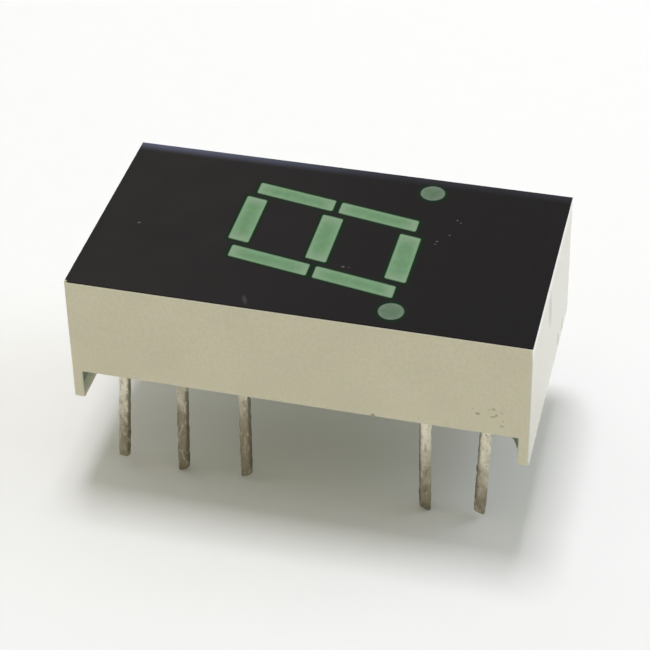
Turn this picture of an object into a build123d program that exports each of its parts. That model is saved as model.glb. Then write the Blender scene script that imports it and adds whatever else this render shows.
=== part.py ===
"""Seven-segment display digit in a dual-in-line housing, millimetres, +Z up.

The digit lies on its side: its top points to -X and its right side to +Y.
The origin is the middle of the plane that the lead tips stand on.
"""
from build123d import *
import os
from math import radians, tan

# Housing
body_length = 19.05
body_width = 10.30
body_height = 5.94
wall_draft = 1.2
corner_radius = 0.10
end_wall = 0.46
long_wall = 0.60
standoff = 1.36
pocket_corner = 0.20
film_thickness = 0.06

# Digit on the front face, measured as it stands before it is slanted
digit_height = 7.70
digit_side_margin = 2.53
digit_slant = 10.0
bar_stroke = 0.91
bar_gap = 0.31
upright_stroke = 0.79
upright_gap = 0.25
upright_end_step = 0.315
segment_corner = 0.11
dot_diameter = 1.04
dot_end_step = 0.18
dot_inset = 1.12

# Reflector wells
well_floor_long = 1.50
well_floor_short = 0.56
well_floor_corner = 0.10
dot_floor_diameter = 0.96

# Leads
row_end_margin = 1.905
row_side_margin = 1.34
lead_below_seat = 4.17
lead_width = 0.46
lead_thickness = 0.30
lead_splay = 6.5
lead_bend_radius = 0.40
lead_edge_flat = 0.08
lead_tip_flat = 0.06

# Leads that are cut short, by a share of their length below the seat
lead_trim_shares = {1: 0.075, 3: 0.050, 7: 0.060}
# Leads that stand off their places along the row, by a share of the pitch
lead_shift_shares = {1: -0.035, 2: -0.060, 3: -0.020, 6: -0.022, 7: -0.014}
# Leads whose tips are bent along the row from there, by a share of the pitch
lead_lean_shares = {1: -0.10, 2: -0.02, 3: 0.04, 6: 0.08, 7: -0.03}
# Leads cut off at a slant, by the rise towards +X as a share of their width
lead_tip_slope_shares = {2: 0.45, 3: 0.40, 6: -0.40, 7: -0.35}

# Stamped frame inside the potting
finger_width = 0.40
frame_gap = 0.15
dot_finger_inset = 0.30

# Dies and bond wires
die_size = 0.25
die_height = 0.20
die_margin = 0.03
bond_inset = 0.08
wire_diameter = 0.05

# Potting
potting_depth = 1.35
potting_recess = 0.08
meniscus_width = 0.28
meniscus_height = 0.62
meniscus_toe = 0.05
meniscus_setback = 0.05
meniscus_hollow_share = 0.42

# Places for leads in each row, some of them left empty
LEAD_POSITIONS = 7
# Bond wires are drawn with this many sides, and turn by an octagon's corners
WIRE_SIDES = 6
OCTAGON_HALF_TURN = 22.5

# Cutters reach past what they cut by this much
overrun = 0.50

# Levels above the plane of the lead tips
seat_level = lead_below_seat
wall_level = seat_level + standoff
face_level = seat_level + body_height
film_level = face_level - film_thickness
potting_level = wall_level + potting_recess
floor_level = potting_level + potting_depth
frame_level = floor_level - lead_thickness

slant = tan(radians(digit_slant))
splay = tan(radians(lead_splay))


def block(size_x, size_y, low, high):
    """Plain block on the middle axis between two levels."""
    sheet = Pos(0, 0, low) * Rectangle(size_x, size_y)
    return extrude(sheet, amount=high - low)


def drafted_block(size_x, size_y, corner, low, high):
    """Moulded block with round corners that narrows upwards by the wall draft."""
    sheet = Rectangle(size_x, size_y)
    sheet = fillet(sheet.vertices(), corner)
    return extrude(Pos(0, 0, low) * sheet, amount=high - low, taper=wall_draft)


def slanted(x, y):
    """Point of the upright digit moved to its place on the slanted digit."""
    return (x, y - slant * x)


def segment_outline(middle, size_x, size_y, corner):
    """Slanted rectangle with round corners about a point of the upright digit."""
    x, y = middle
    half_x = size_x / 2
    half_y = size_y / 2
    corners = [(-half_x, -half_y), (half_x, -half_y), (half_x, half_y), (-half_x, half_y)]
    sheet = Polygon([slanted(x + dx, y + dy) for dx, dy in corners], align=None)
    return fillet(sheet.vertices(), corner)


digit_width = body_width - 2 * digit_side_margin
bar_length = digit_width - 2 * (upright_stroke + bar_gap)
upright_length = (digit_height - upright_gap) / 2 - upright_end_step
bar_x = (digit_height - bar_stroke) / 2
upright_x = (upright_gap + upright_length) / 2
upright_y = (digit_width - upright_stroke) / 2
bar = (bar_stroke, bar_length)
upright = (upright_length, upright_stroke)
dot_x = digit_height / 2 - dot_end_step
dot_y = body_width / 2 - dot_inset

# Segment letter: middle on the upright digit, size along X and Y
segments = {
    "a": ((-bar_x, 0), bar),
    "b": ((-upright_x, upright_y), upright),
    "c": ((upright_x, upright_y), upright),
    "d": ((bar_x, 0), bar),
    "e": ((upright_x, -upright_y), upright),
    "f": ((-upright_x, -upright_y), upright),
    "g": ((0, 0), bar),
}
dots = {"left": (dot_x, -dot_y), "right": (dot_x, dot_y)}

# Where each die's well is on the face, and the outlines of its mouth and its floor
place = {}
mouth = {}
well_floor = {}
for letter, (middle, (size_x, size_y)) in segments.items():
    name = f"segment_{letter}"
    lies_along_x = size_x > size_y
    floor_x = well_floor_long if lies_along_x else well_floor_short
    floor_y = well_floor_short if lies_along_x else well_floor_long
    place[name] = slanted(*middle)
    mouth[name] = segment_outline(middle, size_x, size_y, segment_corner)
    well_floor[name] = segment_outline(middle, floor_x, floor_y, well_floor_corner)
for side, middle in dots.items():
    name = f"decimal_point_{side}"
    place[name] = middle
    mouth[name] = Pos(*middle) * Circle(dot_diameter / 2)
    well_floor[name] = Pos(*middle) * Circle(dot_floor_diameter / 2)


def light_pipe(name):
    """Resin that fills a tapered well from its floor and the film's opening up to the face."""
    low = Pos(0, 0, floor_level) * well_floor[name]
    high = Pos(0, 0, film_level) * mouth[name]
    well = loft([low, high], ruled=True)
    window = extrude(high, amount=film_thickness)
    return well + window


pipes = {name: light_pipe(name) for name in place}

# Moulded body: drafted shell, open underneath, with the long walls cut short of the end feet
outer = drafted_block(body_length, body_width, corner_radius, seat_level, face_level)
inner_length = body_length - 2 * end_wall
inner_width = body_width - 2 * long_wall
cavity = drafted_block(inner_length, inner_width, pocket_corner, seat_level, floor_level)
notch = extrude(
    Pos(0, 0, seat_level) * Rectangle(inner_length, body_width + overrun),
    amount=standoff,
    taper=wall_draft,
)
above_film = block(body_length, body_width, film_level, face_level + overrun)
housing = outer - cavity - notch - above_film
face_film = outer & above_film
for pipe in pipes.values():
    housing -= pipe
    face_film -= pipe


def strip(points):
    """Stamped finger of the frame along straight runs, its top on the well floors."""
    flat = trace(Polyline(*points), line_width=finger_width)
    return extrude(Pos(0, 0, frame_level) * flat, amount=lead_thickness)


# The middle of a leg's sheet crosses its row at the seat and leans outwards towards its tip
sheet_level = frame_level + lead_thickness / 2
row_y = body_width / 2 - row_side_margin
lead_pitch = (body_length - 2 * row_end_margin) / (LEAD_POSITIONS - 1)
bend_y = row_y - splay * (sheet_level - seat_level)
root_y = bend_y - lead_bend_radius


def lead_side(number):
    """-1 for the near row and +1 for the far row."""
    return -1 if number <= LEAD_POSITIONS else 1


def lead_x(number):
    """Leads are numbered along the near row towards +X and back along the far row."""
    far = lead_side(number) > 0
    position = 2 * LEAD_POSITIONS + 1 - number if far else number
    shift = lead_shift_shares.get(number, 0)
    return (position - (LEAD_POSITIONS + 1) / 2 + shift) * lead_pitch


def tip_cutter(number):
    """What lies below a leg's tip: level, or sloping where the lead was cut off at a slant."""
    tip_x = lead_x(number) + lead_lean_shares.get(number, 0) * lead_pitch
    tip_level = lead_trim_shares.get(number, 0) * lead_below_seat
    slope = lead_tip_slope_shares.get(number, 0)
    near_x = lead_pitch / 2
    middle_level = tip_level + abs(slope) * lead_width / 2
    outline = Polygon(
        (tip_x - near_x, middle_level - slope * near_x),
        (tip_x - near_x, -seat_level),
        (tip_x + near_x, -seat_level),
        (tip_x + near_x, middle_level + slope * near_x),
        align=None,
    )
    return extrude(Plane.XZ * outline, amount=body_width, both=True)


def leg(number):
    """Leg of one lead: the sheet bends down out of the frame, leaves the potting and runs to its tip."""
    side = lead_side(number)
    exit_y = row_y - splay * (potting_level - seat_level)
    path = FilletPolyline(
        (root_y, sheet_level),
        (bend_y, sheet_level),
        (exit_y, potting_level),
        radius=lead_bend_radius,
    )
    profile = trace(path, line_width=lead_thickness)
    plane = Plane(origin=(lead_x(number), 0, 0), x_dir=(0, side, 0), z_dir=(side, 0, 0))
    bend = extrude(plane * profile, amount=lead_width / 2, both=True)
    exit_face = bend.faces().sort_by(Axis.Z)[0]
    section = exit_face.chamfer_2d(lead_edge_flat, lead_edge_flat, exit_face.vertices())
    lean = lead_lean_shares.get(number, 0) * lead_pitch
    run = Vector(lean, side * splay * potting_level, -potting_level)
    straight = extrude(section, amount=run.length + overrun, dir=run.normalized())
    solid = bend + straight - tip_cutter(number)
    tip = solid.faces().sort_by(Axis.Z)[0]
    return chamfer(tip.edges(), lead_tip_flat)


def root(number):
    """Point where a leg joins its finger."""
    return (lead_x(number), lead_side(number) * root_y)


# Middle lines of the fingers: a die's pad lies on one side of its place and the common tab on the other
half_gap = frame_gap / 2
half_finger = finger_width / 2
beside = half_gap + half_finger
a_x, a_y = place["segment_a"]
b_x, b_y = place["segment_b"]
c_x, c_y = place["segment_c"]
d_x, d_y = place["segment_d"]
e_x, e_y = place["segment_e"]
f_x, f_y = place["segment_f"]
g_x, g_y = place["segment_g"]
left_bar_x = (f_x + g_x) / 2
right_bar_x = (g_x + c_x) / 2
dot_pad_x = dot_x + beside
dot_pad_y = dot_y + half_finger
dot_run_y = root_y - dot_finger_inset
e_run_x = (e_x + dot_x) / 2
e_run_y = (d_y - beside - dot_run_y) / 2
common_run_y = (f_y - root_y) / 2

fingers = {
    1: [(a_x + half_finger, a_y - beside), (lead_x(1), a_y - beside), root(1)],
    2: [(f_x - half_gap, f_y), (lead_x(2), f_y), root(2)],
    6: [(dot_pad_x, -dot_pad_y), (dot_pad_x, -dot_run_y), (lead_x(6), -dot_run_y), root(6)],
    7: [(e_x + half_gap, e_y), (e_run_x, e_y), (e_run_x, e_run_y), (lead_x(7), e_run_y), root(7)],
    8: [(d_x - half_finger, d_y - beside), (lead_x(8), d_y - beside), root(8)],
    9: [(dot_pad_x, dot_pad_y), (dot_pad_x, dot_run_y), (lead_x(9), dot_run_y), root(9)],
    10: [(c_x + half_gap, c_y), (lead_x(10), c_y), root(10)],
    11: [(g_x, g_y + half_gap), root(11)],
    13: [(b_x - half_gap, b_y), (lead_x(13), b_y), root(13)],
}
leads = {f"lead_{number}": strip(points) + leg(number) for number, points in fingers.items()}

# Leads 3 and 14 are one stamping that reaches every die
common_runs = [
    [root(14), (lead_x(14), a_y + beside), (left_bar_x, a_y + beside)],
    [root(3), (lead_x(3), common_run_y), (left_bar_x, common_run_y), (left_bar_x, f_y)],
    [(left_bar_x, f_y), (left_bar_x, b_y), (b_x + half_gap, b_y)],
    [(f_x + half_gap, f_y), (left_bar_x, f_y)],
    [(left_bar_x, g_y - beside), (right_bar_x, g_y - beside)],
    [(dot_x - half_gap, -dot_y), (right_bar_x, -dot_y), (right_bar_x, c_y), (c_x - half_gap, c_y)],
    [(right_bar_x, e_y), (e_x - half_gap, e_y)],
    [(right_bar_x, d_y + beside), (dot_x - beside, d_y + beside), (dot_x - beside, dot_pad_y)],
]
common_frame = leg(3) + leg(14)
for points in common_runs:
    common_frame += strip(points)
leads["common_frame"] = common_frame

# From each place towards the common tab: the die sits the other way
towards_tab = {
    "segment_a": (0, 1),
    "segment_b": (1, 0),
    "segment_c": (-1, 0),
    "segment_d": (0, 1),
    "segment_e": (-1, 0),
    "segment_f": (1, 0),
    "segment_g": (0, -1),
    "decimal_point_left": (-1, 0),
    "decimal_point_right": (-1, 0),
}
die_reach = half_gap + die_margin + die_size / 2
bond_reach = half_gap + bond_inset
die_top = floor_level + die_height


def die(name):
    """Light-emitting die on its pad."""
    x, y = place[name]
    dx, dy = towards_tab[name]
    sheet = Pos(x - dx * die_reach, y - dy * die_reach, floor_level) * Rectangle(die_size, die_size)
    return extrude(sheet, amount=die_height)


def bond_wire(name):
    """Wire that rises from the top of a die and comes down on the common tab in a half-octagon loop."""
    x, y = place[name]
    dx, dy = towards_tab[name]
    loop = (die_reach + bond_reach) / 2
    cant = loop * tan(radians(OCTAGON_HALF_TURN))
    stations = [
        (-die_reach, die_top),
        (-die_reach, die_top + cant),
        (-die_reach + loop - cant, die_top + loop),
        (bond_reach - loop + cant, die_top + loop),
        (bond_reach, die_top + cant),
        (bond_reach, floor_level),
    ]
    path = Polyline(*[(x + dx * along, y + dy * along, level) for along, level in stations])
    section = Plane(origin=path @ 0, z_dir=(0, 0, 1)) * RegularPolygon(wire_diameter / 2, WIRE_SIDES)
    return sweep(section, path=path, transition=Transition.RIGHT)


dies = {}
wires = {}
for name in place:
    short = name.replace("segment_", "").replace("decimal_point", "point")
    dies[f"die_{short}"] = die(name)
    wires[f"bond_wire_{short}"] = bond_wire(name)
    pipes[name] -= dies[f"die_{short}"]
    pipes[name] -= wires[f"bond_wire_{short}"]


def meniscus(side):
    """Resin drawn down an end wall below the potting, and out under the long walls beside the feet."""
    wall_x = inner_length / 2
    toe_x = wall_x - meniscus_toe
    edge_x = toe_x - meniscus_width
    low = potting_level - meniscus_height
    hollow_x = toe_x - meniscus_hollow_share * meniscus_width
    hollow_level = potting_level - meniscus_hollow_share * meniscus_height
    hollow = ThreePointArc((edge_x, potting_level), (hollow_x, hollow_level), (toe_x, low))
    rest = Polyline(
        (toe_x, low),
        (wall_x, low),
        (wall_x, floor_level),
        (edge_x, floor_level),
        (edge_x, potting_level),
    )
    plane = Plane(origin=(0, 0, 0), x_dir=(side, 0, 0), z_dir=(0, -side, 0))
    return extrude(plane * make_face(hollow + rest), amount=body_width / 2 - meniscus_setback, both=True)


potting = block(inner_length, inner_width, potting_level, floor_level) & cavity
potting += (meniscus(-1) + meniscus(1)) & (cavity + notch)
for lead in leads.values():
    potting -= lead

pieces = {"housing": housing, "face_film": face_film, "potting": potting}
pieces |= pipes | leads | dies | wires

os.makedirs("parts", exist_ok=True)
for name, piece in pieces.items():
    export_step(piece, f"parts/{name}.step")
    print(name, len(piece.solids()), round(piece.volume, 4))
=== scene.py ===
# %% [markdown]
# # A seven-segment display digit, dressed for a photograph
# The shapes of this little part are already made and packed: a moulded housing, a black face film,
# seven light pipes and two points, tinned leads and the resin that holds them. This lesson loads
# them as a fixed frame and gives every surface its finish, one cell at a time.

# %% Load the frame
import bpy
import math
import numpy as np
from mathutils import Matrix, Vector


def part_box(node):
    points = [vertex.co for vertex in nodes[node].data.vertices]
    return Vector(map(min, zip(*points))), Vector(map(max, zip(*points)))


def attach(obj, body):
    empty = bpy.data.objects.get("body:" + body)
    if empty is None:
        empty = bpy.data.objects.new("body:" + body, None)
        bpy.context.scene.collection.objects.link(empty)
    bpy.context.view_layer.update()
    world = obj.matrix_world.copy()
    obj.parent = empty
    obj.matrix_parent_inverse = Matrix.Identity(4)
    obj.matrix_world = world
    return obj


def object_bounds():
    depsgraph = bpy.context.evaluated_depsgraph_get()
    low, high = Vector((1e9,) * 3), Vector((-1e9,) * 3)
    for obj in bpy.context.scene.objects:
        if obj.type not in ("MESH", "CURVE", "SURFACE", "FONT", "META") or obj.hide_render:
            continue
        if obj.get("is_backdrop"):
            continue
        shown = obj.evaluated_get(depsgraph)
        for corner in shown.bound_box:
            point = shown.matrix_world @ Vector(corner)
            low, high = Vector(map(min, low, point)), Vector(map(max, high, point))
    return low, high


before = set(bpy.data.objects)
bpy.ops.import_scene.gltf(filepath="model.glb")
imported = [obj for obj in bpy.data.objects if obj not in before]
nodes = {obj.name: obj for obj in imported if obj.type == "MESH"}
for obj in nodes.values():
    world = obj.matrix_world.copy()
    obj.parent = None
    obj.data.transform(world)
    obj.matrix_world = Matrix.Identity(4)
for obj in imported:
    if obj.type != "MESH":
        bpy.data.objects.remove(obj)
cad_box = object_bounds()
MM = 0.001
face_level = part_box("face_film")[1].z / MM
seat_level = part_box("housing")[0].z / MM
print(f"{len(nodes)} nodes, face at {face_level:.2f} mm, feet at {seat_level:.2f} mm")

# %% [markdown]
# ## The camera
# A long lens looks down on the front face from a little to the right. The place could be found by
# hand, but here it is written as an angle round the part, an angle above the floor and a distance,
# because those are the numbers that a person would change.

# %% Place the camera
PHOTO_WIDTH = 650
VIEW_AZIMUTH = math.radians(14.86)
VIEW_ELEVATION = math.radians(39.26)
VIEW_ROLL = math.radians(-1.28)
VIEW_DISTANCE = 81.71 * MM
VIEW_AIM = np.array((0.148, -0.770, 6.19)) * MM
FOCAL_PIXELS = 1963.3
SENSOR_WIDTH = 36.0
NEAREST_SEEN = 1 * MM


def view_axes(azimuth, elevation, roll):
    """Right, up and back of a camera: back points from the aim to the lens, right lies level, and
    the roll turns right and up about back."""
    back = np.array((
        math.sin(azimuth) * math.cos(elevation),
        -math.cos(azimuth) * math.cos(elevation),
        math.sin(elevation),
    ))
    right = np.array((math.cos(azimuth), math.sin(azimuth), 0))
    up = np.cross(back, right)
    rolled_right = math.cos(roll) * right + math.sin(roll) * up
    rolled_up = math.cos(roll) * up - math.sin(roll) * right
    return rolled_right, rolled_up, back


axes = view_axes(VIEW_AZIMUTH, VIEW_ELEVATION, VIEW_ROLL)
pose = np.eye(4)
pose[:3, :3] = np.column_stack(axes)
pose[:3, 3] = VIEW_AIM + VIEW_DISTANCE * axes[2]
lens = bpy.data.cameras.new("camera")
lens.sensor_width = SENSOR_WIDTH
lens.lens = FOCAL_PIXELS / PHOTO_WIDTH * SENSOR_WIDTH
lens.clip_start = NEAREST_SEEN
camera = bpy.data.objects.new("camera", lens)
camera.matrix_world = pose.T.tolist()
bpy.context.scene.collection.objects.link(camera)
bpy.context.scene.camera = camera
bpy.context.scene.view_settings.view_transform = "Standard"
print(f"camera at {np.round(pose[:3, 3] / MM, 2)} mm with a lens of {lens.lens:.1f} mm")

# %% [markdown]
# ## Sums on sockets
# A finish is a small calculation that runs at every point of a surface. Blender draws it as boxes
# and wires, which is slow to read as code. This class wraps one output of one box, so that plain
# signs such as `1 - mask` add the Math boxes, and one method adds every other kind of box.

# %% Wrap a socket
class Wire:
    """One output socket of a material. Arithmetic on it adds Math nodes to the same tree."""

    def __init__(self, tree, socket):
        self.tree = tree
        self.socket = socket

    def node(self, kind, settings, inputs, output=0):
        """Adds a node: first its type, then its settings, then its sockets' values or links."""
        new = self.tree.nodes.new(kind)
        for name, value in settings.items():
            setattr(new, name, value)
        for name, value in inputs.items():
            if isinstance(value, Wire):
                self.tree.links.new(value.socket, new.inputs[name])
            else:
                new.inputs[name].default_value = value
        return Wire(self.tree, None if output is None else new.outputs[output])

    def math(self, operation, *values):
        """Math node on numbers and wires, in the order given."""
        return self.node("ShaderNodeMath", {"operation": operation}, dict(enumerate(values)))

    def __add__(self, other):
        return self.math("ADD", self, other)

    def __radd__(self, other):
        return self.math("ADD", other, self)

    def __sub__(self, other):
        return self.math("SUBTRACT", self, other)

    def __rsub__(self, other):
        return self.math("SUBTRACT", other, self)

    def __mul__(self, other):
        return self.math("MULTIPLY", self, other)

    def __rmul__(self, other):
        return self.math("MULTIPLY", other, self)

    def __abs__(self):
        return self.math("ABSOLUTE", self)

    def least(self, other):
        """The smaller of two values."""
        return self.math("MINIMUM", self, other)

    def step(self, low, high):
        """0 below low and 1 above high, with a smooth rise between them."""
        settings = {"interpolation_type": "SMOOTHSTEP"}
        inputs = {"Value": self, "From Min": low, "From Max": high}
        return self.node("ShaderNodeMapRange", settings, inputs)


print("socket arithmetic is ready")

# %% [markdown]
# ## Starting and ending a finish
# Every finish starts with the place of a point on its piece and ends in one Principled shader. The
# place could come from an unwrapped map, but Object coordinates need no unwrapping, and a pattern
# on them stays with its piece from every side. Here they are turned into millimetres, so that every
# size below is one that a ruler would show. Colours are written as a screen shows them, because
# that is how a person picks them, and are turned into linear light.

# %% Colours, first node and last node
def tone(red, green, blue):
    """Screen colour from 0 to 255, turned into the linear light that a shader adds up."""
    screen = np.array((red, green, blue)) / 255
    linear = np.where(screen <= 0.04045, screen / 12.92, ((screen + 0.055) / 1.055) ** 2.4)
    return (*linear.tolist(), 1.0)


def begin(name):
    """New material, with a wire that carries the point's place on the piece in millimetres."""
    material = bpy.data.materials.new(name)
    material.use_nodes = True
    material.node_tree.nodes.clear()
    empty = Wire(material.node_tree, None)
    point = empty.node("ShaderNodeTexCoord", {}, {}, "Object")
    inputs = {"Vector": point, "Scale": (1 / MM, 1 / MM, 1 / MM)}
    place = point.node("ShaderNodeMapping", {"vector_type": "POINT"}, inputs)
    return material, place


def close(material, sockets):
    """Ends a finish: a Principled shader with these sockets feeds the surface."""
    shader = Wire(material.node_tree, None).node("ShaderNodeBsdfPrincipled", {}, sockets)
    shader.node("ShaderNodeOutputMaterial", {}, {"Surface": shader}, None)
    return material


def dress(material, *names):
    """Gives nodes of the frame one finish."""
    for name in names:
        slots = nodes[name].data.materials
        slots.clear()
        slots.append(material)
    print(material.name, "on", ", ".join(names))


print("a screen grey of 128 is", round(tone(128, 128, 128)[0], 3), "in linear light")

# %% [markdown]
# ## Words for finishes
# The same few ideas come back in every finish: one coordinate of a place, a cloudy noise, a mark of
# a given size at a given place, one colour laid over another, and a shallow dent. Each could be
# written out where it is needed, but a short function gives it a name.

# %% Noise, marks, layers and dents
MARK_EDGE_CLOUDS = 9.0


def along(place, axis):
    """One coordinate of a place: X, Y or Z."""
    return place.node("ShaderNodeSeparateXYZ", {}, {"Vector": place}, axis)


def clouds(place, per_mm, detail=3.0, roughness=0.55):
    """Soft noise from 0 to 1 with this many clouds in a millimetre."""
    inputs = {"Vector": place, "Scale": per_mm, "Detail": detail, "Roughness": roughness}
    return place.node("ShaderNodeTexNoise", {}, inputs, "Fac")


def mark(place, middle, reach, turn=(0, 0, 0), ragged=0.35, soft=0.45):
    """1 inside an ellipsoid of this middle and reach in millimetres, fading with a ragged edge."""
    inputs = {"Vector": place, "Location": middle, "Rotation": turn, "Scale": reach}
    local = place.node("ShaderNodeMapping", {"vector_type": "TEXTURE"}, inputs)
    away = local.node("ShaderNodeVectorMath", {"operation": "LENGTH"}, {0: local}, "Value")
    wobble = clouds(place, MARK_EDGE_CLOUDS) - 0.5
    return 1 - (away + wobble * ragged * 2).step(1 - soft, 1 + soft)


def lay(mask, under, over, share=1.0):
    """One colour laid over another where the mask is 1, and there it covers this share."""
    inputs = {0: mask * share, 6: under, 7: over}
    return mask.node("ShaderNodeMix", {"data_type": "RGBA"}, inputs, 2)


def dent(place, height, depth_mm, strength=1.0):
    """Bump normal for a height from 0 to 1 that stands for this depth in millimetres."""
    inputs = {"Height": height, "Distance": depth_mm * MM, "Strength": strength}
    return place.node("ShaderNodeBump", {}, inputs, "Normal")


print("marks have", MARK_EDGE_CLOUDS, "clouds in a millimetre of edge")

# %% [markdown]
# ## The moulded housing
# The body is injection-moulded in a cream plastic that has yellowed a little. Close up it is not
# one colour: the filler shows as fine specks and the tone drifts over a few millimetres. The end
# wall is painted paler for the light that falls on it, and a painted highlight runs along the top
# edges, strongest along the end wall. Handling has left small dark scuffs on the long wall and grey
# smudges on the end wall. Between the feet the resin has stained the plastic green, and painted
# shade darkens that stain under the body. All of that could be painted on an unwrapped map. Here each
# mark is a place, a reach, a turn and a strength, which is easier to read and stays sharp at any
# distance.

# %% Measure the housing and list its marks
wall_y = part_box("housing")[0].y / MM
end_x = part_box("housing")[1].x / MM
top_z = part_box("housing")[1].z / MM
WALL_TAPER = math.tan(math.radians(1.2))
END_WALL_THICKNESS = 0.46
FOOT_HEIGHT = 1.36
FOOT_INSIDE = end_x - END_WALL_THICKNESS
# Each mark: its middle, its reach along X, Y and Z, its turn in radians and its strength.
LONG_WALL_SCUFFS = [
    ((7.40, wall_y, 6.48), (0.090, 0.30, 0.055), 0.00, 0.75),
    ((8.02, wall_y, 6.81), (0.075, 0.30, 0.060), 0.30, 0.50),
    ((7.85, wall_y, 6.77), (0.050, 0.30, 0.045), 0.00, 0.35),
    ((8.14, wall_y, 6.52), (0.060, 0.30, 0.045), -0.60, 0.70),
    ((8.01, wall_y, 6.43), (0.110, 0.30, 0.040), -0.10, 0.60),
    ((8.35, wall_y, 6.69), (0.090, 0.30, 0.090), 0.00, 0.18),
    ((8.38, wall_y, 6.00), (0.085, 0.30, 0.045), 0.00, 0.55),
    ((8.41, wall_y, 6.26), (0.035, 0.30, 0.050), 0.00, 0.30),
    ((7.19, wall_y, 6.70), (0.040, 0.30, 0.050), 0.00, 0.25),
    ((3.19, wall_y, 5.58), (0.070, 0.30, 0.060), 0.00, 1.00),
]
END_WALL_SMUDGES = [
    ((end_x, -0.56, 8.50), (0.40, 0.34, 0.90), 0.30, 0.50),
    ((end_x, 2.29, 4.71), (0.40, 0.20, 0.30), 0.25, 0.75),
    ((end_x, 3.38, 4.61), (0.40, 0.16, 0.30), -0.20, 0.60),
]
print(len(LONG_WALL_SCUFFS), "scuffs at Y", round(wall_y, 2), "mm,", len(END_WALL_SMUDGES), "smudges")

# %% Cream moulding
CREAM, WARM_CREAM = tone(222, 216, 187), tone(226, 220, 191)
FILLER_SPECK = tone(202, 197, 167)
# Painted light: the paler tone of the end wall, where the light falls on it.
PAINTED_END_LIGHT = tone(224, 222, 214)
# The resin's real green stain between the feet, with painted shade under the body added to its tone.
RESIN_STAIN_AND_SHADE = tone(146, 165, 140)
# Painted highlights along the top edges, strongest on the end wall's top edge.
EDGE_HIGHLIGHT = tone(250, 249, 241)
END_EDGE_HIGHLIGHT = tone(254, 251, 245)
SCUFF_BROWN = tone(146, 138, 104)
SMUDGE_GREY = tone(138, 134, 126)
# Each band, in millimetres: where a change starts and where it is complete.
END_LIGHT_BAND = end_x - 0.09, end_x - 0.02
STAIN_AND_SHADE_SIDE_BAND = FOOT_INSIDE - 0.01, FOOT_INSIDE + 0.04
STAIN_AND_SHADE_LOW_BAND = -0.3, 0.8
STAIN_AND_SHADE_TOP_BAND = FOOT_HEIGHT - 0.04, FOOT_HEIGHT - 0.01
EDGE_HIGHLIGHT_BAND = top_z - 0.11, top_z - 0.02
END_EDGE_HIGHLIGHT_BAND = top_z - 0.75, top_z - 0.05


def cream_moulding():
    """Cream plastic: drifting tone, specks, a resin stain deepened by painted shade, scuffs and
    smudges, a paler end wall and a highlight on the top edges that are both painted light, and a grain
    that breaks the gloss. The walls lean in by the taper times the rise, which is added back to find
    the end wall."""
    material, place = begin("cream_moulding")
    sideways, height = along(place, "X"), along(place, "Z")
    drift = clouds(place, per_mm=0.35, detail=2.0)
    speck = clouds(place, per_mm=9.0, detail=2.0, roughness=0.7)
    base = lay(drift.step(0.3, 0.7), CREAM, WARM_CREAM)
    base = lay(speck.step(0.35, 0.75), base, FILLER_SPECK, share=0.32)
    rise = height - seat_level
    # Painted light: the end wall, found through the taper, is made paler.
    end_light_mask = (sideways + WALL_TAPER * rise).step(*END_LIGHT_BAND)
    base = lay(end_light_mask, base, PAINTED_END_LIGHT, share=0.6)
    # The resin stain between the feet and below the walls, darkened as painted shade under the body.
    between_feet = 1 - abs(sideways).step(*STAIN_AND_SHADE_SIDE_BAND)
    below_walls = rise.step(*STAIN_AND_SHADE_LOW_BAND) * (1 - rise.step(*STAIN_AND_SHADE_TOP_BAND))
    base = lay(between_feet * below_walls, base, RESIN_STAIN_AND_SHADE, share=0.9)
    # Painted highlight along every top edge, then a stronger one on the end wall's top edge.
    base = lay(height.step(*EDGE_HIGHLIGHT_BAND), base, EDGE_HIGHLIGHT, share=0.2)
    base = lay(height.step(*END_EDGE_HIGHLIGHT_BAND) * end_light_mask, base, END_EDGE_HIGHLIGHT, share=0.95)
    for middle, reach, turn, strength in LONG_WALL_SCUFFS:
        scuff = mark(place, middle, reach, turn=(0, turn, 0), soft=0.6)
        base = lay(scuff, base, SCUFF_BROWN, share=strength)
    for middle, reach, turn, strength in END_WALL_SMUDGES:
        smudge = mark(place, middle, reach, turn=(turn, 0, 0), ragged=1.1, soft=0.75)
        base = lay(smudge, base, SMUDGE_GREY, share=strength)
    grain = clouds(place, per_mm=16.0, detail=2.0)
    return close(material, {
        "Base Color": base,
        "Roughness": 0.30 + 0.12 * grain,
        "Normal": dent(place, grain, depth_mm=0.005),
        "IOR": 1.5,
        "Coat Weight": 0.4,
        "Coat Roughness": 0.14,
    })


dress(cream_moulding(), "housing")

# %% [markdown]
# ## The windows in the face
# Seven slanted windows and two round ones let the light out of the black face. Both the film and
# the resin in a window change near its edge, so both need the distance to it. That could be a mask
# drawn for each window. A sum is sharper: a shear undoes the slant, and then the distance is the
# half width less the distance from the middle.

# %% Distance to a window
DIGIT_SLANT = math.tan(math.radians(10))
SEGMENTS = [f"segment_{letter}" for letter in "abcdefg"]
POINTS = ["decimal_point_left", "decimal_point_right"]


def window_gaps(place, name):
    """Distances in millimetres from a place on the face to a window's short ends and to its long
    sides, and less than zero outside it. A point's window is a circle. A segment's is a rectangle
    once the shear, which moves a place across by the slant times its distance along, has stood it
    upright."""
    low, high = (np.array(corner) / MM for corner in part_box(name))
    middle = (low + high) / 2
    half_x = (high[0] - low[0]) / 2
    across_x = along(place, "X") - middle[0]
    across_y = along(place, "Y") - middle[1]
    if name in POINTS:
        gap = half_x - place.math("SQRT", across_x * across_x + across_y * across_y)
        return gap, gap
    half_y = (high[1] - low[1]) / 2 - DIGIT_SLANT * half_x
    upright_y = across_y + DIGIT_SLANT * across_x
    gaps = half_x - abs(across_x), half_y - abs(upright_y)
    return gaps if half_x > half_y else gaps[::-1]


print(len(SEGMENTS), "slanted windows and", len(POINTS), "round ones")
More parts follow.
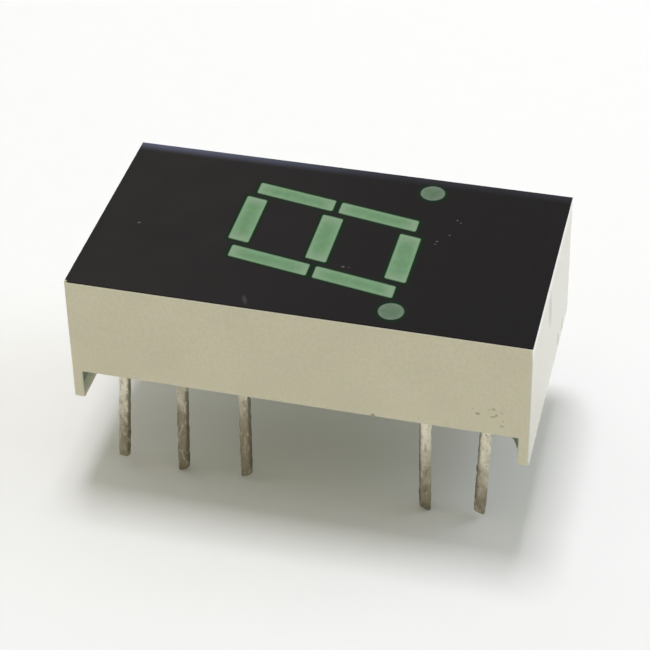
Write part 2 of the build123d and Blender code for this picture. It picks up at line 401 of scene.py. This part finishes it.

# %% [markdown]
# ## The black face film
# A thin black sheet covers the front, so that the digit stands out. It is satin rather than glossy.
# The real marks on it are tiny: pale dust, a short smudge by the front edge, and a chip at the
# front-left corner where the cream shows through. A painted sheen lightens its left end, and a bluish
# painted reflection runs along the back edge. Round each window the ink is thin and a dark green
# shows. A plain black would hide all of this, so each is a layer.

# %% Satin black film
film_low, film_high = (np.array(corner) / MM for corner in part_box("face_film"))
# The third tone is a painted sheen, lighter towards the left end of the film.
INK, INK_TOOTH, SHEEN_INK = tone(18, 16, 17), tone(25, 22, 24), tone(38, 34, 35)
THIN_INK = tone(3, 34, 14)
# Painted reflection: a bluish band along the back edge of the film.
REFLECTION_BLUE = tone(84, 88, 107)
DUST_GREY = tone(150, 148, 146)
FINGER_GREY = tone(104, 102, 104)
CHIP_CREAM = tone(214, 208, 178)
SHEEN_BAND = -9.0, 7.0
THIN_INK_BAND = -0.20, -0.04
REFLECTION_BAND = film_high[1] - 0.60, film_high[1]
REFLECTION_FADE_BAND = -6.0, 3.0
MARK_DEPTH = 0.2
# Each speck of dust: its place along X and Y and its reach.
DUST = [
    ((-7.71, -0.63), 0.060),
    ((5.03, 2.38), 0.050),
    ((5.21, 2.23), 0.040),
    ((4.92, 1.31), 0.045),
    ((4.51, 0.79), 0.055),
    ((4.46, 0.60), 0.045),
    ((1.19, -1.68), 0.065),
    ((1.43, -1.68), 0.030),
]
SMUDGE_PLACE, SMUDGE_REACH, SMUDGE_TURN = (-2.08, -4.58, face_level), (0.08, 0.24, MARK_DEPTH), 0.42
CHIP_PLACE, CHIP_REACH = (film_low[0], film_low[1], face_level), (0.10, 0.08, MARK_DEPTH)


def satin_film():
    """Black ink on a film: fine tooth in the gloss, green rings, dust, a smudge, a chip, a painted
    sheen at the left and a painted reflection along the back edge.
    """
    material, place = begin("satin_black_film")
    sideways = along(place, "X")
    tooth = clouds(place, per_mm=14.0, detail=2.0)
    drift = clouds(place, per_mm=0.5, detail=2.0)
    base = lay(tooth.step(0.3, 0.8), INK, INK_TOOTH)
    # Painted sheen: the film is lighter towards its left end.
    painted_sheen = (1 - sideways.step(*SHEEN_BAND)) * (0.5 + drift)
    base = lay(painted_sheen, base, SHEEN_INK, share=0.7)
    for name in POINTS + SEGMENTS:
        ends, sides = window_gaps(place, name)
        base = lay(ends.least(sides).step(*THIN_INK_BAND), base, THIN_INK)
    # Painted reflection along the back edge, fading towards the right.
    painted_reflection = along(place, "Y").step(*REFLECTION_BAND)
    painted_reflection = painted_reflection * (1 - 0.8 * sideways.step(*REFLECTION_FADE_BAND)) * (0.6 + 0.6 * drift)
    base = lay(painted_reflection, base, REFLECTION_BLUE)
    for (x, y), reach in DUST:
        speck = mark(place, (x, y, face_level), (reach, reach * 0.8, MARK_DEPTH))
        base = lay(speck, base, DUST_GREY, share=0.3)
    smudge = mark(place, SMUDGE_PLACE, SMUDGE_REACH, turn=(0, 0, SMUDGE_TURN), soft=0.7)
    base = lay(smudge, base, FINGER_GREY, share=0.25)
    base = lay(mark(place, CHIP_PLACE, CHIP_REACH), base, CHIP_CREAM)
    return close(material, {
        "Base Color": base,
        "Roughness": 0.42 + 0.18 * tooth,
        "Normal": dent(place, tooth, depth_mm=0.004),
        "Specular IOR Level": 0.12,
    })


dress(satin_film(), "face_film")

# %% [markdown]
# ## The light pipes
# Each segment is clear-green resin with a diffuser in it, cast into a tapered well of the housing.
# The top is level with the film. Its rim catches more light than its middle, its short ends are
# greyer, and a thin dark line parts it from the black. One flat green would look like paint, so the
# colour follows the distances to the window's ends and sides.

# %% Green resin in the windows
# The tones of a resin: its body, its deep middle and its pale rim.
SEGMENT_TONES = tone(98, 137, 98), tone(88, 129, 90), tone(119, 158, 119)
POINT_TONES = tone(82, 107, 82), tone(74, 106, 74), tone(105, 124, 106)
GREY_END = tone(142, 158, 136)
DARK_LINE = tone(44, 66, 46)
# Each band, in millimetres in from the window's edge.
DEEP_BAND = 0.15, 0.42
GREY_END_BAND = 0.0, 0.70
RIM_BAND = 0.05, 0.20
DARK_LINE_BAND = 0.0, 0.05


def green_resin(name, body_tone, deep_tone, rim_tone):
    """Resin whose colour goes from deep to pale towards the window's edge, then to a dark line."""
    material, place = begin(f"{name}_resin")
    ends, sides = window_gaps(place, name)
    edge = ends.least(sides)
    mottle = clouds(place, per_mm=4.0)
    flecks = clouds(place, per_mm=15.0, detail=2.0)
    base = lay(mottle.step(0.3, 0.7), body_tone, rim_tone, share=0.5)
    base = lay(edge.step(*DEEP_BAND), base, deep_tone, share=0.45)
    if name in SEGMENTS:
        base = lay(1 - ends.step(*GREY_END_BAND), base, GREY_END, share=0.55)
    base = lay(flecks.step(0.55, 0.8), base, deep_tone, share=0.3)
    base = lay(1 - edge.step(*RIM_BAND), base, rim_tone, share=0.6)
    base = lay(1 - edge.step(*DARK_LINE_BAND), base, DARK_LINE, share=0.7)
    return close(material, {
        "Base Color": base,
        "Roughness": 0.30 + 0.2 * flecks,
        "Normal": dent(place, mottle, depth_mm=0.01),
        "IOR": 1.5,
    })


for name in SEGMENTS:
    dress(green_resin(name, *SEGMENT_TONES), name)
for name in POINTS:
    dress(green_resin(name, *POINT_TONES), name)

# %% [markdown]
# ## The tinned leads
# The leads were stamped from copper sheet and dipped in tin. Age has dulled the tin to a warm grey,
# pitted and mottled it, and left it more brown towards the cut tips. A painted shade darkens the sides
# that face the middle of the row and the second and third legs from the left, and the bright glints
# are painted highlights. It could be one noise in one colour, but real dulling has sizes: wide
# patches, blotches drawn out along the leg and small dark pits. Each of these, and the painted
# glints, gets its own noise.

# %% Dull tin
LEADS = [f"lead_{number}" for number in (1, 2, 6, 7, 8, 9, 10, 11, 13)] + ["common_frame"]
INWARD = "turned_inward"
# The second tone here is a painted highlight for the bright glints on the tin.
BRIGHT_TIN, GLINT = tone(240, 235, 214), tone(243, 239, 220)
# Tone for dull tin, which also carries the painted shade on two legs.
TARNISH_AND_SHADE_TIN = tone(160, 151, 128)
BLOTCH_BROWN = tone(118, 108, 84)
# Painted shade on the sides of the legs that face the middle of the row.
SHADED_SIDE = tone(104, 96, 76)
TIP_BROWN = tone(76, 71, 56)
PIT_BROWN = tone(70, 62, 48)
DRAWN_OUT = (1, 1, 0.35)
# Painted shade: the two legs near this X, second and third from the left, stand in shade and are
# darkened.
SHADIEST_LEG_X = -3.8
SHADED_LEG_BAND = 1.6, 3.4
LOW_DOWN_BAND = 0.6, 5.0
TIP_BAND = 0.05, 0.55


def dull_tin():
    """Tin that is bright in patches near the body, more brown lower down and darkest at the cut tip,
    with pits all over. A painted shade darkens two legs and the sides facing the middle of the row,
    and the glints are painted highlights."""
    material, place = begin("dull_tin")
    stretch = {"Vector": place, "Scale": DRAWN_OUT}
    drawn = place.node("ShaderNodeMapping", {"vector_type": "POINT"}, stretch)
    height = along(place, "Z")
    patch = clouds(place, per_mm=1.6)
    blotch = clouds(drawn, per_mm=5.0, detail=4.0, roughness=0.6)
    glint = clouds(drawn, per_mm=6.5, detail=2.0)
    pits = clouds(place, per_mm=7.0, detail=4.0, roughness=0.65)
    low_down = 1 - height.step(*LOW_DOWN_BAND)
    # Painted shade: the legs near X = -3.8 mm are darkened, and this is added to the mask of real
    # dulling below.
    shaded_legs = 1 - abs(along(place, "X") - SHADIEST_LEG_X).step(*SHADED_LEG_BAND)
    tarnish_and_shade = (low_down * 0.85 + (patch - 0.5) * 0.8 + shaded_legs * 0.40).step(0.0, 0.95)
    base = lay(tarnish_and_shade, BRIGHT_TIN, TARNISH_AND_SHADE_TIN)
    base = lay(blotch.step(0.50, 0.68), base, BLOTCH_BROWN, share=0.5)
    # Painted shade: the sides that turn towards the middle of the row face the dark space under the
    # body, so they are darkened.
    inner = place.node("ShaderNodeAttribute", {"attribute_name": INWARD}, {}, "Fac")
    base = lay(inner.step(0.35, 0.95), base, SHADED_SIDE, share=0.7)
    # Painted highlights: bright glints in the colour, fewer where the tin is dull.
    base = lay(glint.step(0.56, 0.70), base, GLINT, share=0.7 - 0.4 * tarnish_and_shade)
    tip = 1 - (height + (blotch - 0.5) * 0.5).step(*TIP_BAND)
    base = lay(tip, base, TIP_BROWN, share=0.5)
    hole = 1 - pits.step(0.30, 0.42)
    base = lay(hole, base, PIT_BROWN, share=0.6)
    return close(material, {
        "Base Color": base,
        "Metallic": 0.55 - 0.3 * hole,
        "Roughness": 0.34 + 0.2 * tarnish_and_shade,
        "Normal": dent(place, pits, depth_mm=0.05, strength=0.7),
    })


tin = dull_tin()
dress(tin, *LEADS)

# %% [markdown]
# ## Where each leg runs
# Eleven legs leave the resin, and two of them belong to the common frame. A skin of tin has to
# follow each one. Its line could be copied by hand from the drawing, but the frame already holds
# it: the points of a leg near its tip and where it leaves the resin give the two ends.

# %% Find each leg's middle line
FIRST_FAR_LEG = 8
LEGS = {lead: (lead, -1 if int(lead.split("_")[1]) < FIRST_FAR_LEG else 1) for lead in LEADS[:-1]}
LEGS |= {"lead_3": ("common_frame", -1), "lead_14": ("common_frame", 1)}
POTTING_DEPTH = 1.35
EXIT_REACH = 0.2
resin_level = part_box("potting")[1].z / MM - POTTING_DEPTH


def leg_line(node, side):
    """Middle of a leg where it leaves the resin and at its tip, and the cut tip's highest level."""
    vertices = nodes[node].data.vertices
    flat = np.empty(3 * len(vertices))
    vertices.foreach_get("co", flat)
    points = flat.reshape(-1, 3) / MM
    points = points[points[:, 1] * side > 0]
    level = points[:, 2]
    tip = points[level < seat_level / 2]
    exit_ring = points[(level > seat_level / 2) & (level < resin_level + EXIT_REACH)]
    return exit_ring.mean(axis=0), tip.mean(axis=0), tip[:, 2].max()


lines = {leg: leg_line(*where) for leg, where in LEGS.items()}
for leg, (high, low, cut) in lines.items():
    print(leg, "runs from", np.round(high, 2), "to", np.round(low, 2), "and is cut at", round(cut, 2))

# %% [markdown]
# ## The tin left by the dip
# A dipped leg isn't a crisp strip: the tin draws back from its edges into a rounded, lumpy skin,
# and only the tip, which was cut off afterwards, is bare. The frame gives the crisp strip. The skin
# could be sculpted on each leg, but a formula is shorter: a rounded rectangle is carried down the
# leg's middle line, and slow waves swell and pinch it.

# %% Shape of the skin
SKIN_ROWS = 110
SKIN_COLUMNS = 40
LEG_HALF_WIDTH = 0.23
LEG_HALF_THICKNESS = 0.15
CORNER_POWER = 2.4
SKIN_DEPTH = 0.024
LUMP_DEPTH = 0.034
LUMP_WAVES = 12
LUMP_TURNS = (0, 4)
LUMP_CLIMBS = (3.0, 15.0)
FULL_TURN = 2 * math.pi
START_BELOW_RESIN = 0.25
STOP_ABOVE_CUT = 0.02
FADE_LENGTH = 0.25
SINK_DEPTH = 0.03


def skin_of_tin(leg, high, low, cut):
    """Surface round a leg, and how far each of its points turns inward. Round it, the radius is that
    of a rounded rectangle: cosine over half width and sine over half thickness are raised to one
    power and added, and the radius is one over that power's root. Along it, a skin is added that is
    full in the middle and sinks into the leg at both ends, and a mean of slow sine waves that climb
    and turn. The inward value is the share of the half width by which a point lies towards the
    middle of the row."""
    start = resin_level - START_BELOW_RESIN
    level = np.linspace(start, cut + STOP_ABOVE_CUT, SKIN_ROWS)[:, None]
    turn = np.linspace(0, FULL_TURN, SKIN_COLUMNS, endpoint=False)[None, :]
    cosine, sine = np.cos(turn), np.sin(turn)
    wide = np.abs(cosine / LEG_HALF_WIDTH) ** CORNER_POWER
    thick = np.abs(sine / LEG_HALF_THICKNESS) ** CORNER_POWER
    chance = np.random.default_rng(int(leg.split("_")[1]))
    turns = chance.integers(*LUMP_TURNS, LUMP_WAVES)
    climbs = chance.uniform(*LUMP_CLIMBS, LUMP_WAVES)
    phases = chance.uniform(0, FULL_TURN, LUMP_WAVES)
    waves = np.sin(turns * turn[..., None] + climbs * level[..., None] + phases).mean(axis=2)
    full = np.clip(np.minimum(start - level, level - cut) / FADE_LENGTH, 0, 1)
    skin = full * (SKIN_DEPTH + LUMP_DEPTH * waves) - SINK_DEPTH * (1 - full)
    radius = (wide + thick) ** (-1 / CORNER_POWER) + skin
    down = (high[2] - level) / (high[2] - low[2])
    x = high[0] + down * (low[0] - high[0]) + radius * cosine
    y = high[1] + down * (low[1] - high[1]) + radius * sine
    inward = np.clip(-np.sign(high[0]) * radius * cosine / LEG_HALF_WIDTH, 0, 1)
    return np.stack((x, y, np.broadcast_to(level, x.shape)), axis=-1) * MM, inward


print("a skin is a grid of", SKIN_ROWS, "by", SKIN_COLUMNS, "points")

# %% [markdown]
# ## One closed piece for each skin
# A grid becomes a piece when its points are joined by faces. A modifier could close the ends, but
# two lids are enough, and so the piece is closed and its faces point outwards. How far each point
# turns inward goes along as an attribute, because the tin gets a painted shade there.

# %% Skin of tin on each leg
def closed_tube(name, grid, inward):
    """Piece from a grid of rows that run downwards and close on themselves, with a lid at each end.
    Each face joins a point to the one below it and to the same two points one column on. The inward
    values are kept as an attribute, which the tin reads."""
    rows, columns = grid.shape[:2]
    index = np.arange(rows * columns).reshape(rows, columns)
    after = np.roll(index, -1, axis=1)
    quads = np.stack((index[:-1], index[1:], after[1:], after[:-1]), axis=-1).reshape(-1, 4)
    faces = quads.tolist() + [index[0].tolist(), index[-1][::-1].tolist()]
    mesh = bpy.data.meshes.new(name)
    mesh.from_pydata(grid.reshape(-1, 3).tolist(), [], faces)
    mesh.polygons.foreach_set("use_smooth", np.ones(len(faces), dtype=bool))
    turned = mesh.attributes.new(INWARD, "FLOAT", "POINT")
    turned.data.foreach_set("value", inward.ravel())
    piece = bpy.data.objects.new(name, mesh)
    bpy.context.scene.collection.objects.link(piece)
    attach(piece, "root")
    return piece


for leg, line in lines.items():
    skin = closed_tube(f"{leg}_tin", *skin_of_tin(leg, *line))
    skin.data.materials.append(tin)
print(len(lines), "skins of", len(skin.data.polygons), "faces each")

# %% [markdown]
# ## The potting resin
# Green resin was poured in from behind to hold the frame of leads. It shows below the long walls,
# where it has crept down the end walls in a dark curve, and it fills the underside with a glossy,
# slightly uneven surface. It could be clear with something dark behind it, but the cast is thick
# and nothing shows through, so a colour with a slow swirl and a shallow dent is enough.

# %% Potting resin
CAST_GREEN, CAST_SWIRL = tone(80, 90, 62), tone(98, 108, 76)
BUBBLE_GREEN = tone(112, 128, 92)


def potting_resin():
    """Dark green resin with faint bubbles and a wet shine."""
    material, place = begin("potting_resin")
    swirl = clouds(place, per_mm=0.9)
    bubble = clouds(place, per_mm=6.0, detail=2.0)
    base = lay(swirl.step(0.3, 0.7), CAST_GREEN, CAST_SWIRL)
    base = lay(bubble.step(0.62, 0.72), base, BUBBLE_GREEN, share=0.4)
    return close(material, {
        "Base Color": base,
        "Roughness": 0.22 + 0.15 * swirl,
        "Normal": dent(place, swirl, depth_mm=0.08),
        "IOR": 1.52,
    })


dress(potting_resin(), "potting")

# %% [markdown]
# ## Dies and bond wires
# Deep in each well sits a crystal with a wire to the common frame. They are sealed in and don't
# show. They could be left plain, but a part that comes apart should still look right inside, so
# each gets its own finish.

# %% Crystal and gold
WELLS = list("abcdefg") + ["point_left", "point_right"]
CRYSTAL, SAWN_CRYSTAL = tone(150, 142, 70), tone(182, 172, 96)
GOLD, GOLD_STREAK = tone(226, 178, 84), tone(244, 204, 120)


def crystal():
    """Amber-green crystal with a sawn, slightly cloudy face."""
    material, place = begin("die_crystal")
    saw = clouds(place, per_mm=40.0, detail=2.0)
    base = lay(saw, CRYSTAL, SAWN_CRYSTAL)
    return close(material, {"Base Color": base, "Roughness": 0.3 + 0.2 * saw, "IOR": 3.0})


def gold_wire():
    """Drawn gold with fine streaks."""
    material, place = begin("bond_gold")
    streak = clouds(place, per_mm=60.0, detail=1.0)
    base = lay(streak, GOLD, GOLD_STREAK)
    rough = 0.2 + 0.15 * streak
    return close(material, {"Base Color": base, "Roughness": rough, "Metallic": 1.0})


dress(crystal(), *[f"die_{well}" for well in WELLS])
dress(gold_wire(), *[f"bond_wire_{well}" for well in WELLS])

# %% [markdown]
# ## The floor
# The part stands on white paper, a wide sheet with a slight tooth. It could be a flat white, but a
# trace of fibre keeps the shadow from looking painted.

# %% Floor
FLOOR_REACH = 1.5
FLOOR_LEVEL = -0.01 * MM
PAPER, PAPER_FIBRE = tone(248, 248, 248), tone(251, 251, 250)


def white_paper():
    """Pale paper with a barely seen fibre."""
    material, place = begin("white_paper")
    base = lay(clouds(place, per_mm=0.8), PAPER, PAPER_FIBRE)
    return close(material, {"Base Color": base, "Roughness": 0.8, "Specular IOR Level": 0.1})


corners = FLOOR_REACH * np.array([(-1, -1, 0), (1, -1, 0), (1, 1, 0), (-1, 1, 0)])
corners[:, 2] = FLOOR_LEVEL
sheet = bpy.data.meshes.new("floor")
sheet.from_pydata(corners.tolist(), [], [(0, 1, 2, 3)])
floor = bpy.data.objects.new("floor", sheet)
floor.data.materials.append(white_paper())
bpy.context.scene.collection.objects.link(floor)
floor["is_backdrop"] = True
print("floor", 2 * FLOOR_REACH, "m wide")

# %% [markdown]
# ## The lamps
# A soft light hangs above and a little behind the part, so the near wall is in gentle shade and the
# shadow falls towards the viewer. A wide light on the right brightens the end wall, a low one on
# the left reaches in under the body, and a weak one behind lets the floor fade towards the viewer.
# One large lamp would be simpler, but then the shadow would have no edge.

# %% Lamps
BODY_MIDDLE = np.array((0, 0, face_level / 2)) * MM
# Each lamp: the way to it, its distance and size in metres, its level and its tint.
LAMPS = {
    "overhead": ((-0.05, 0.20, 1.0), 0.30, 0.08, 0.462, (1.0, 1.0, 1.06)),
    "right": ((1.0, 0.35, 0.80), 0.36, 0.30, 0.29, (0.90, 1.0, 1.20)),
    "left": ((-1.0, 0.10, 0.26), 0.36, 0.40, 0.33, (1.0, 1.0, 1.0)),
    "behind": ((-0.10, 1.0, 0.80), 0.36, 0.40, 0.08, (1.0, 1.0, 1.0)),
}


def hang(name, towards, away, size, level, tint):
    """Square soft light that faces the body. Its level is the share of full white that it alone
    would give a surface facing it: the power for that is pi squared times the distance squared."""
    lamp = bpy.data.lights.new(name, "AREA")
    lamp.size = size
    lamp.energy = level * (math.pi * away) ** 2
    lamp.color = tint
    back = np.array(towards) / np.linalg.norm(towards)
    right = np.cross((0, 1, 0), back)
    right = right / np.linalg.norm(right)
    pose = np.eye(4)
    pose[:3, :3] = np.column_stack((right, np.cross(back, right), back))
    pose[:3, 3] = BODY_MIDDLE + away * back
    lit = bpy.data.objects.new(name, lamp)
    lit.matrix_world = pose.T.tolist()
    bpy.context.scene.collection.objects.link(lit)
    print(name, "lamp at level", level)


for name, settings in LAMPS.items():
    hang(name, *settings)

# %% [markdown]
# ## The sky
# The rest of the room sends back a little warm light from all sides, which keeps the shadows open.
# A room could be built for that. An even background gives the same and costs no time.

# %% Sky
SKY_LEVEL = 0.35
SKY_TINT = (1.0, 0.97, 0.79, 1.0)
world = bpy.data.worlds.new("studio")
world.use_nodes = True
world.node_tree.nodes.clear()
sky = Wire(world.node_tree, None)
glow = sky.node("ShaderNodeBackground", {}, {"Color": SKY_TINT, "Strength": SKY_LEVEL})
sky.node("ShaderNodeOutputWorld", {}, {"Surface": glow}, None)
bpy.context.scene.world = world
print("sky at level", SKY_LEVEL)

# %% [markdown]
# ## Measure and finish
# The finishes must not change the part's size. That could be judged by eye, but the box from the
# start and the box now are two short lists of numbers, so both are kept.

# %% Keep the sizes
boxes = {"cad": cad_box, "visual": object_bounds()}
for name, (low, high) in boxes.items():
    print("the", name, "box measures", np.round(np.subtract(high, low) / MM, 2), "mm")
